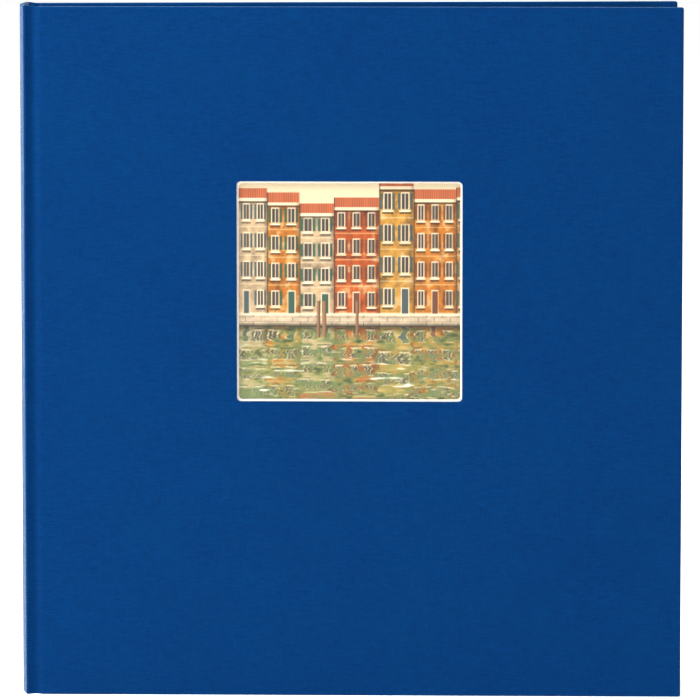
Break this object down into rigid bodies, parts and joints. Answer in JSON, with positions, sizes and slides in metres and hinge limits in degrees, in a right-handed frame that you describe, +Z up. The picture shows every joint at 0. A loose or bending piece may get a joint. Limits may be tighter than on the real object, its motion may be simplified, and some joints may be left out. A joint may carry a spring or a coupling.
{
  "type": "scrapbook album",
  "caption": "Case-bound scrapbook album, cloth covers, rounded hollow spine, grooved joints, a square picture window in the front board and card leaves on guards.",
  "frame": {"origin": "on the surface the album stands on, below the middle of its box", "axes": "+Z up along the spine from tail to head, +X from the spine to the fore-edge, the front cover faces -Y"},
  "size_m": [0.2982, 0.053, 0.312],
  "materials": {
    "bookcloth": "fine blue linen weave, matt with a soft sheen",
    "grey_board": "white-grey bookbinding board, matt cut edges",
    "spine_card": "thin buff card, matt",
    "page_card": "uncoated off-white card, fine tooth",
    "endpaper": "uncoated ivory endpaper",
    "gauze": "open cotton gauze",
    "band": "woven blue and white bead",
    "print": "semi-gloss printed card"
  },
  "bodies": {
    "spine": {"spine_cloth": "bookcloth", "spine_card": "spine_card", "spine_lining": "endpaper", "spine_gauze": "gauze", "page_guards": "page_card", "head_band": "band", "tail_band": "band"},
    "front_cover": {"front_cloth": "bookcloth", "front_window_board": "grey_board", "front_backing_board": "grey_board", "window_print": "print", "front_pastedown": "endpaper"},
    "back_cover": {"back_cloth": "bookcloth", "back_board": "grey_board", "back_pastedown": "endpaper"},
    "front_flyleaf": {"front_flyleaf": "endpaper"},
    "leaf_01": {"leaf_01": "page_card"},
    "leaf_02": {"leaf_02": "page_card"},
    "leaf_03": {"leaf_03": "page_card"},
    "leaf_04": {"leaf_04": "page_card"},
    "leaf_05": {"leaf_05": "page_card"},
    "leaf_06": {"leaf_06": "page_card"},
    "leaf_07": {"leaf_07": "page_card"},
    "leaf_08": {"leaf_08": "page_card"},
    "leaf_09": {"leaf_09": "page_card"},
    "leaf_10": {"leaf_10": "page_card"},
    "leaf_11": {"leaf_11": "page_card"},
    "leaf_12": {"leaf_12": "page_card"},
    "leaf_13": {"leaf_13": "page_card"},
    "leaf_14": {"leaf_14": "page_card"},
    "leaf_15": {"leaf_15": "page_card"},
    "leaf_16": {"leaf_16": "page_card"},
    "leaf_17": {"leaf_17": "page_card"},
    "leaf_18": {"leaf_18": "page_card"},
    "leaf_19": {"leaf_19": "page_card"},
    "leaf_20": {"leaf_20": "page_card"},
    "leaf_21": {"leaf_21": "page_card"},
    "leaf_22": {"leaf_22": "page_card"},
    "leaf_23": {"leaf_23": "page_card"},
    "leaf_24": {"leaf_24": "page_card"},
    "leaf_25": {"leaf_25": "page_card"},
    "leaf_26": {"leaf_26": "page_card"},
    "leaf_27": {"leaf_27": "page_card"},
    "leaf_28": {"leaf_28": "page_card"},
    "leaf_29": {"leaf_29": "page_card"},
    "leaf_30": {"leaf_30": "page_card"},
    "back_flyleaf": {"back_flyleaf": "endpaper"}
  },
  "joints": [
    {"name": "front_cover_hinge", "type": "hinge", "parent": "spine", "child": "front_cover", "pos_m": [-0.1429, -0.0159, 0], "axis": [0, 0, -1], "range_deg": [0, 178]},
    {"name": "back_cover_hinge", "type": "hinge", "parent": "spine", "child": "back_cover", "pos_m": [-0.1429, 0.0159, 0], "axis": [0, 0, 1], "range_deg": [0, 178]},
    {"name": "front_flyleaf_turn", "type": "hinge", "parent": "spine", "child": "front_flyleaf", "pos_m": [-0.1384, -0.0109, 0], "axis": [0, 0, -1], "range_deg": [0, 85.91]},
    {"name": "leaf_01_turn", "type": "hinge", "parent": "spine", "child": "leaf_01", "pos_m": [-0.1379, -0.0102, 0], "axis": [0, 0, -1], "range_deg": [0, 80.55]},
    {"name": "leaf_02_turn", "type": "hinge", "parent": "spine", "child": "leaf_02", "pos_m": [-0.1374, -0.00949, 0], "axis": [0, 0, -1], "range_deg": [0, 75.18]},
    {"name": "leaf_03_turn", "type": "hinge", "parent": "spine", "child": "leaf_03", "pos_m": [-0.1369, -0.00879, 0], "axis": [0, 0, -1], "range_deg": [0, 69.81]},
    {"name": "leaf_04_turn", "type": "hinge", "parent": "spine", "child": "leaf_04", "pos_m": [-0.1364, -0.00809, 0], "axis": [0, 0, -1], "range_deg": [0, 64.45]},
    {"name": "leaf_05_turn", "type": "hinge", "parent": "spine", "child": "leaf_05", "pos_m": [-0.1359, -0.00738, 0], "axis": [0, 0, -1], "range_deg": [0, 59.08]},
    {"name": "leaf_06_turn", "type": "hinge", "parent": "spine", "child": "leaf_06", "pos_m": [-0.1354, -0.00668, 0], "axis": [0, 0, -1], "range_deg": [0, 53.72]},
    {"name": "leaf_07_turn", "type": "hinge", "parent": "spine", "child": "leaf_07", "pos_m": [-0.1349, -0.00598, 0], "axis": [0, 0, -1], "range_deg": [0, 48.35]},
    {"name": "leaf_08_turn", "type": "hinge", "parent": "spine", "child": "leaf_08", "pos_m": [-0.1344, -0.00527, 0], "axis": [0, 0, -1], "range_deg": [0, 42.99]},
    {"name": "leaf_09_turn", "type": "hinge", "parent": "spine", "child": "leaf_09", "pos_m": [-0.1339, -0.00457, 0], "axis": [0, 0, -1], "range_deg": [0, 37.62]},
    {"name": "leaf_10_turn", "type": "hinge", "parent": "spine", "child": "leaf_10", "pos_m": [-0.1334, -0.00387, 0], "axis": [0, 0, -1], "range_deg": [0, 32.26]},
    {"name": "leaf_11_turn", "type": "hinge", "parent": "spine", "child": "leaf_11", "pos_m": [-0.1329, -0.00316, 0], "axis": [0, 0, -1], "range_deg": [0, 26.89]},
    {"name": "leaf_12_turn", "type": "hinge", "parent": "spine", "child": "leaf_12", "pos_m": [-0.1324, -0.00246, 0], "axis": [0, 0, -1], "range_deg": [0, 21.53]},
    {"name": "leaf_13_turn", "type": "hinge", "parent": "spine", "child": "leaf_13", "pos_m": [-0.1319, -0.00176, 0], "axis": [0, 0, -1], "range_deg": [0, 16.16]},
    {"name": "leaf_14_turn", "type": "hinge", "parent": "spine", "child": "leaf_14", "pos_m": [-0.1314, -0.00105, 0], "axis": [0, 0, -1], "range_deg": [0, 10.8]},
    {"name": "leaf_15_turn", "type": "hinge", "parent": "spine", "child": "leaf_15", "pos_m": [-0.1309, -0.00035, 0], "axis": [0, 0, -1], "range_deg": [0, 5.43]},
    {"name": "leaf_16_turn", "type": "hinge", "parent": "spine", "child": "leaf_16", "pos_m": [-0.1309, 0.00035, 0], "axis": [0, 0, 1], "range_deg": [0, 5.43]},
    {"name": "leaf_17_turn", "type": "hinge", "parent": "spine", "child": "leaf_17", "pos_m": [-0.1314, 0.00105, 0], "axis": [0, 0, 1], "range_deg": [0, 10.8]},
    {"name": "leaf_18_turn", "type": "hinge", "parent": "spine", "child": "leaf_18", "pos_m": [-0.1319, 0.00176, 0], "axis": [0, 0, 1], "range_deg": [0, 16.16]},
    {"name": "leaf_19_turn", "type": "hinge", "parent": "spine", "child": "leaf_19", "pos_m": [-0.1324, 0.00246, 0], "axis": [0, 0, 1], "range_deg": [0, 21.53]},
    {"name": "leaf_20_turn", "type": "hinge", "parent": "spine", "child": "leaf_20", "pos_m": [-0.1329, 0.00316, 0], "axis": [0, 0, 1], "range_deg": [0, 26.89]},
    {"name": "leaf_21_turn", "type": "hinge", "parent": "spine", "child": "leaf_21", "pos_m": [-0.1334, 0.00387, 0], "axis": [0, 0, 1], "range_deg": [0, 32.26]},
    {"name": "leaf_22_turn", "type": "hinge", "parent": "spine", "child": "leaf_22", "pos_m": [-0.1339, 0.00457, 0], "axis": [0, 0, 1], "range_deg": [0, 37.62]},
    {"name": "leaf_23_turn", "type": "hinge", "parent": "spine", "child": "leaf_23", "pos_m": [-0.1344, 0.00527, 0], "axis": [0, 0, 1], "range_deg": [0, 42.99]},
    {"name": "leaf_24_turn", "type": "hinge", "parent": "spine", "child": "leaf_24", "pos_m": [-0.1349, 0.00598, 0], "axis": [0, 0, 1], "range_deg": [0, 48.35]},
    {"name": "leaf_25_turn", "type": "hinge", "parent": "spine", "child": "leaf_25", "pos_m": [-0.1354, 0.00668, 0], "axis": [0, 0, 1], "range_deg": [0, 53.72]},
    {"name": "leaf_26_turn", "type": "hinge", "parent": "spine", "child": "leaf_26", "pos_m": [-0.1359, 0.00738, 0], "axis": [0, 0, 1], "range_deg": [0, 59.08]},
    {"name": "leaf_27_turn", "type": "hinge", "parent": "spine", "child": "leaf_27", "pos_m": [-0.1364, 0.00809, 0], "axis": [0, 0, 1], "range_deg": [0, 64.45]},
    {"name": "leaf_28_turn", "type": "hinge", "parent": "spine", "child": "leaf_28", "pos_m": [-0.1369, 0.00879, 0], "axis": [0, 0, 1], "range_deg": [0, 69.81]},
    {"name": "leaf_29_turn", "type": "hinge", "parent": "spine", "child": "leaf_29", "pos_m": [-0.1374, 0.00949, 0], "axis": [0, 0, 1], "range_deg": [0, 75.18]},
    {"name": "leaf_30_turn", "type": "hinge", "parent": "spine", "child": "leaf_30", "pos_m": [-0.1379, 0.0102, 0], "axis": [0, 0, 1], "range_deg": [0, 80.55]},
    {"name": "back_flyleaf_turn", "type": "hinge", "parent": "spine", "child": "back_flyleaf", "pos_m": [-0.1384, 0.0109, 0], "axis": [0, 0, 1], "range_deg": [0, 85.91]}
  ],
  "couplings": [
    {"joint": "front_flyleaf_turn", "follows": "front_cover_hinge", "ratio": 0.48264},
    {"joint": "leaf_01_turn", "follows": "front_cover_hinge", "ratio": 0.4525},
    {"joint": "leaf_02_turn", "follows": "front_cover_hinge", "ratio": 0.42235},
    {"joint": "leaf_03_turn", "follows": "front_cover_hinge", "ratio": 0.39221},
    {"joint": "leaf_04_turn", "follows": "front_cover_hinge", "ratio": 0.36207},
    {"joint": "leaf_05_turn", "follows": "front_cover_hinge", "ratio": 0.33193},
    {"joint": "leaf_06_turn", "follows": "front_cover_hinge", "ratio": 0.30179},
    {"joint": "leaf_07_turn", "follows": "front_cover_hinge", "ratio": 0.27165},
    {"joint": "leaf_08_turn", "follows": "front_cover_hinge", "ratio": 0.24151},
    {"joint": "leaf_09_turn", "follows": "front_cover_hinge", "ratio": 0.21137},
    {"joint": "leaf_10_turn", "follows": "front_cover_hinge", "ratio": 0.18123},
    {"joint": "leaf_11_turn", "follows": "front_cover_hinge", "ratio": 0.15108},
    {"joint": "leaf_12_turn", "follows": "front_cover_hinge", "ratio": 0.12094},
    {"joint": "leaf_13_turn", "follows": "front_cover_hinge", "ratio": 0.090802},
    {"joint": "leaf_14_turn", "follows": "front_cover_hinge", "ratio": 0.060661},
    {"joint": "leaf_15_turn", "follows": "front_cover_hinge", "ratio": 0.03052},
    {"joint": "leaf_16_turn", "follows": "back_cover_hinge", "ratio": 0.03052},
    {"joint": "leaf_17_turn", "follows": "back_cover_hinge", "ratio": 0.060661},
    {"joint": "leaf_18_turn", "follows": "back_cover_hinge", "ratio": 0.090802},
    {"joint": "leaf_19_turn", "follows": "back_cover_hinge", "ratio": 0.12094},
    {"joint": "leaf_20_turn", "follows": "back_cover_hinge", "ratio": 0.15108},
    {"joint": "leaf_21_turn", "follows": "back_cover_hinge", "ratio": 0.18123},
    {"joint": "leaf_22_turn", "follows": "back_cover_hinge", "ratio": 0.21137},
    {"joint": "leaf_23_turn", "follows": "back_cover_hinge", "ratio": 0.24151},
    {"joint": "leaf_24_turn", "follows": "back_cover_hinge", "ratio": 0.27165},
    {"joint": "leaf_25_turn", "follows": "back_cover_hinge", "ratio": 0.30179},
    {"joint": "leaf_26_turn", "follows": "back_cover_hinge", "ratio": 0.33193},
    {"joint": "leaf_27_turn", "follows": "back_cover_hinge", "ratio": 0.36207},
    {"joint": "leaf_28_turn", "follows": "back_cover_hinge", "ratio": 0.39221},
    {"joint": "leaf_29_turn", "follows": "back_cover_hinge", "ratio": 0.42235},
    {"joint": "leaf_30_turn", "follows": "back_cover_hinge", "ratio": 0.4525},
    {"joint": "back_flyleaf_turn", "follows": "back_cover_hinge", "ratio": 0.48264}
  ]
}
